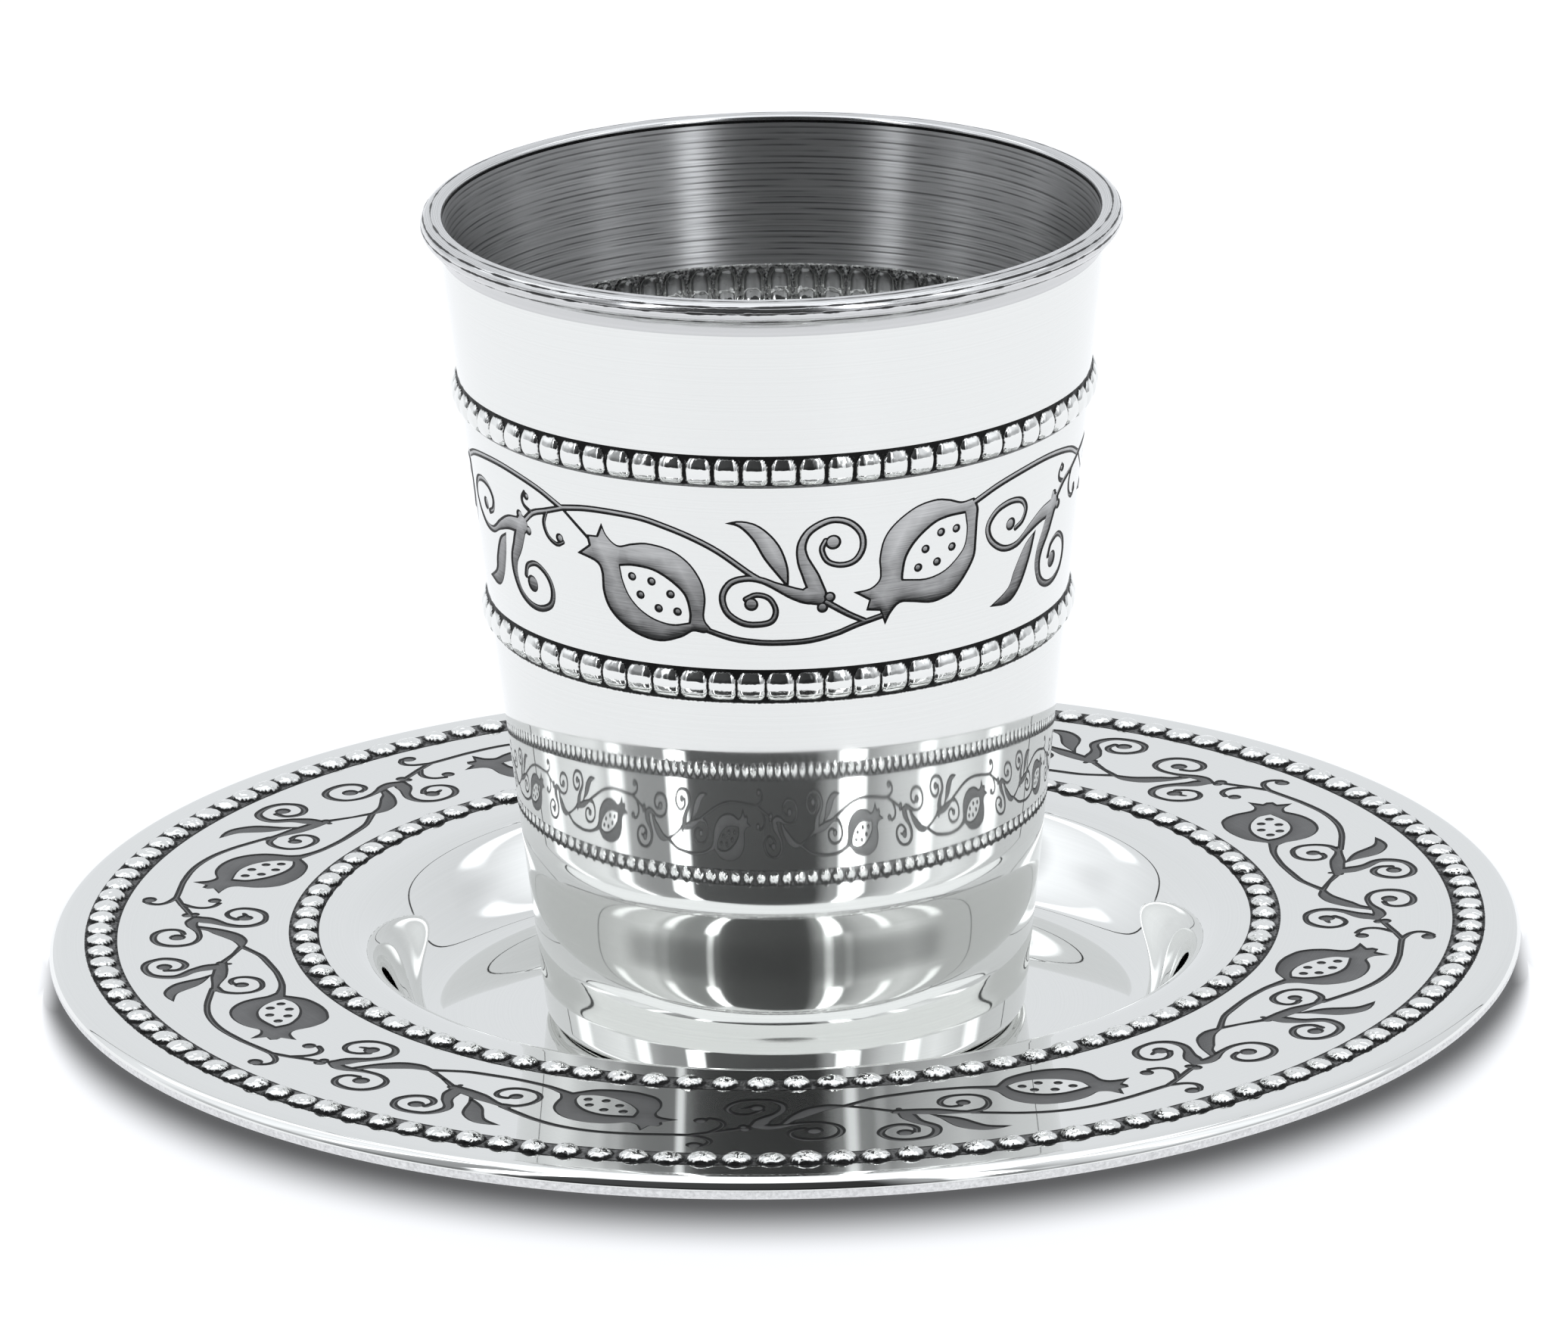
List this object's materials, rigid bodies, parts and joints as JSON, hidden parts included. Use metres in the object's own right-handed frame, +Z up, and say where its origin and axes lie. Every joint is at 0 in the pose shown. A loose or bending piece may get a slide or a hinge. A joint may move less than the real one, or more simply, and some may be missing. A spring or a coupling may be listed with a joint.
{
  "type": "kiddush cup with saucer",
  "caption": "Tapered stainless steel kiddush cup with a rolled lip, beaded bands and an etched pomegranate frieze, standing in the well of its matching beaded saucer.",
  "frame": {"origin": "on the table under the middle of the saucer", "axes": "+Z up along the common axis of the cup and the saucer"},
  "size_m": [0.141, 0.141, 0.0808],
  "materials": {
    "polished_steel": "mirror-polished stainless steel, turned inside the cup, with a satin grey etched ornament"
  },
  "bodies": {
    "root": {"cup": "polished_steel", "saucer": "polished_steel"}
  },
  "joints": []
}
